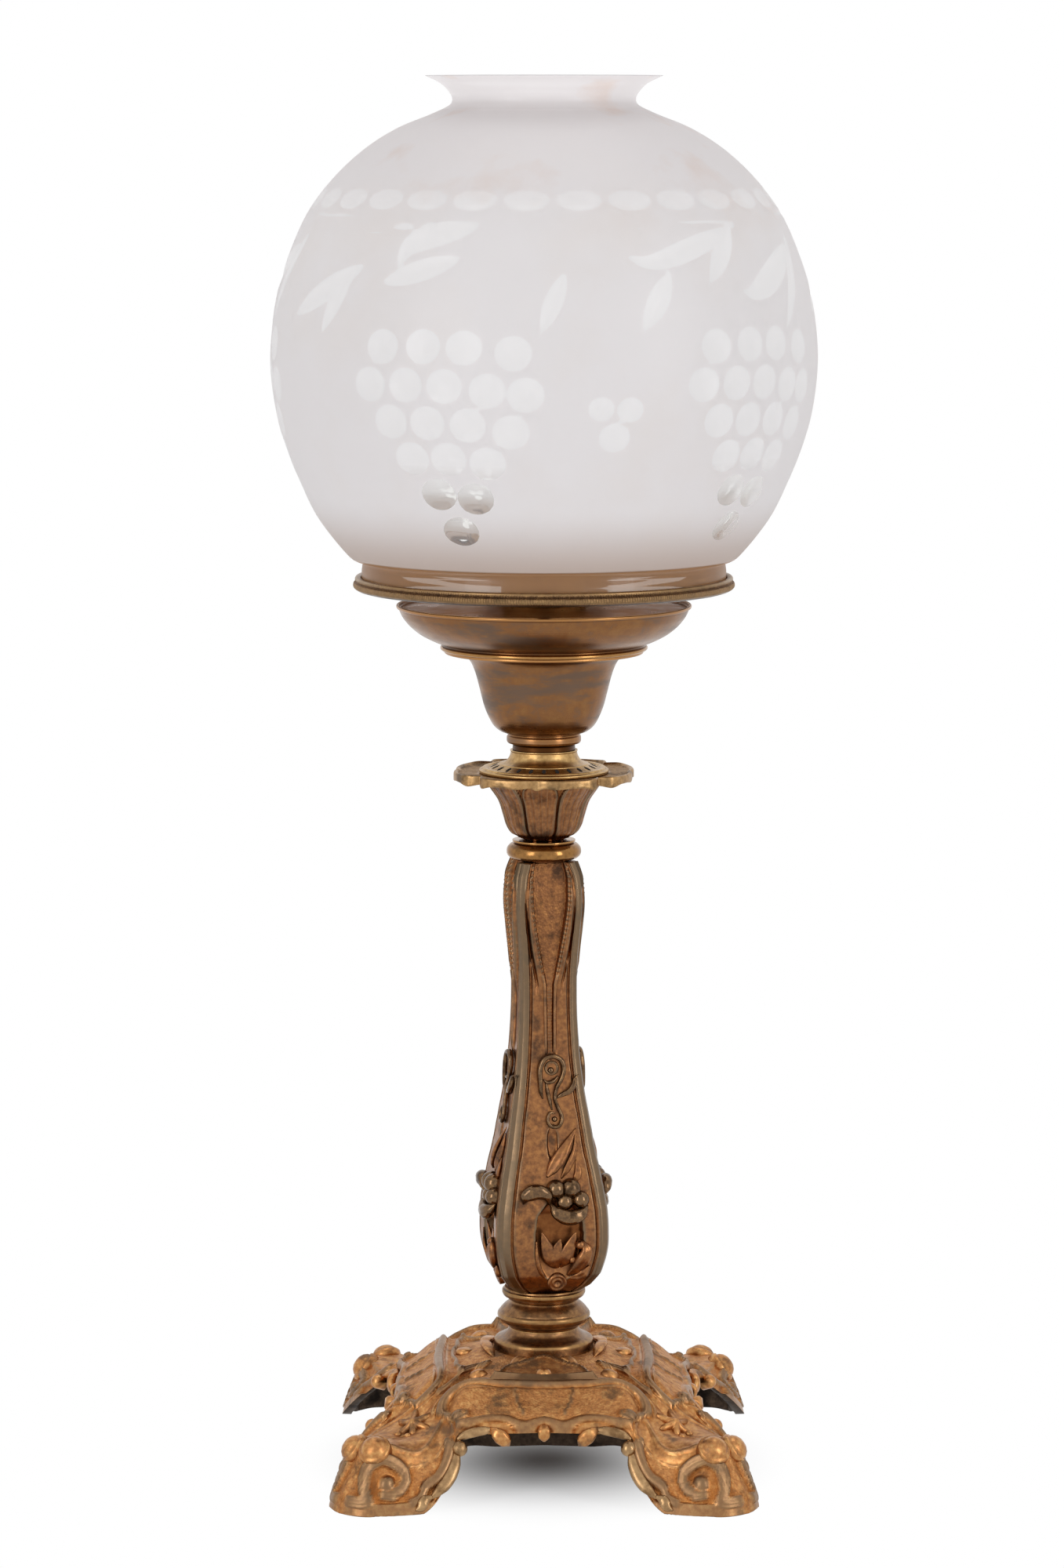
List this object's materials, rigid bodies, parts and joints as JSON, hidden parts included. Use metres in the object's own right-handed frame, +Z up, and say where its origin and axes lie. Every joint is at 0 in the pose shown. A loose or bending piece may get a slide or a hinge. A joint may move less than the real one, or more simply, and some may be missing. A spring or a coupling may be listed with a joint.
{
  "type": "solar lamp",
  "caption": "Tall oil table lamp: cut glass globe on a turning brass ring, central draught burner, urn font and cast gilt stem on a square scrolled base.",
  "frame": {"origin": "centre of the square base, on the surface that the lamp stands on", "axes": "+Z up along the lamp's axis, -Y towards the viewer of the picture, +X to the viewer's right"},
  "size_m": [0.2504, 0.2504, 0.646],
  "materials": {
    "gilt_bronze": "worn gilding over cast bronze",
    "antique_brass": "aged lacquered brass",
    "bright_gilt": "polished gilding",
    "burner_brass": "dull brass",
    "iron": "blackened iron",
    "cotton": "woven cotton wick",
    "cut_glass": "frosted outside with clear cut pattern"
  },
  "bodies": {
    "stand": {"base_casting": "gilt_bronze", "foot_collar": "gilt_bronze", "knop": "gilt_bronze", "stem_flange": "gilt_bronze", "stem": "gilt_bronze", "torus_ring": "bright_gilt", "capital_cup": "gilt_bronze", "capital_plate": "gilt_bronze", "air_dish": "antique_brass", "air_cone": "antique_brass", "font_collar": "antique_brass", "font_bell": "gilt_bronze", "font_bowl": "gilt_bronze", "font_cover": "antique_brass", "burner_collar": "burner_brass", "burner_tube": "burner_brass", "draft_tube": "burner_brass", "tie_rod": "iron", "base_washer": "iron", "base_nut": "iron", "rod_nut": "iron"},
    "ring": {"ring_spider": "burner_brass", "shade_ring": "antique_brass", "arm_screw_1": "burner_brass", "arm_screw_2": "burner_brass", "arm_screw_3": "burner_brass", "arm_screw_4": "burner_brass", "chimney_gallery": "burner_brass", "wick_driver": "burner_brass"},
    "wick_lift": {"wick_carrier": "burner_brass", "wick": "cotton"},
    "cap": {"solar_cap": "burner_brass"},
    "globe": {"glass_shade": "cut_glass"},
    "filler": {"filler_cap": "antique_brass"}
  },
  "joints": [
    {"name": "ring_turn", "type": "hinge", "parent": "stand", "child": "ring", "pos_m": [0, 0, 0.4144], "axis": [0, 0, 1], "range_deg": [-360, 120]},
    {"name": "wick_rise", "type": "slide", "parent": "ring", "child": "wick_lift", "axis": [0, 0, 1], "range_m": [-0.02505, 0.0084]},
    {"name": "cap_lift", "type": "slide", "parent": "ring", "child": "cap", "axis": [0, 0, 1], "range_m": [0, 0.03]},
    {"name": "globe_lift", "type": "slide", "parent": "ring", "child": "globe", "axis": [0, 0, 1], "range_m": [0, 0.08]},
    {"name": "filler_lift", "type": "slide", "parent": "stand", "child": "filler", "axis": [0, 0, 1], "range_m": [0, 0.025]}
  ],
  "couplings": [
    {"joint": "wick_rise", "follows": "ring_turn", "m_per_rad": 0.0039789}
  ]
}
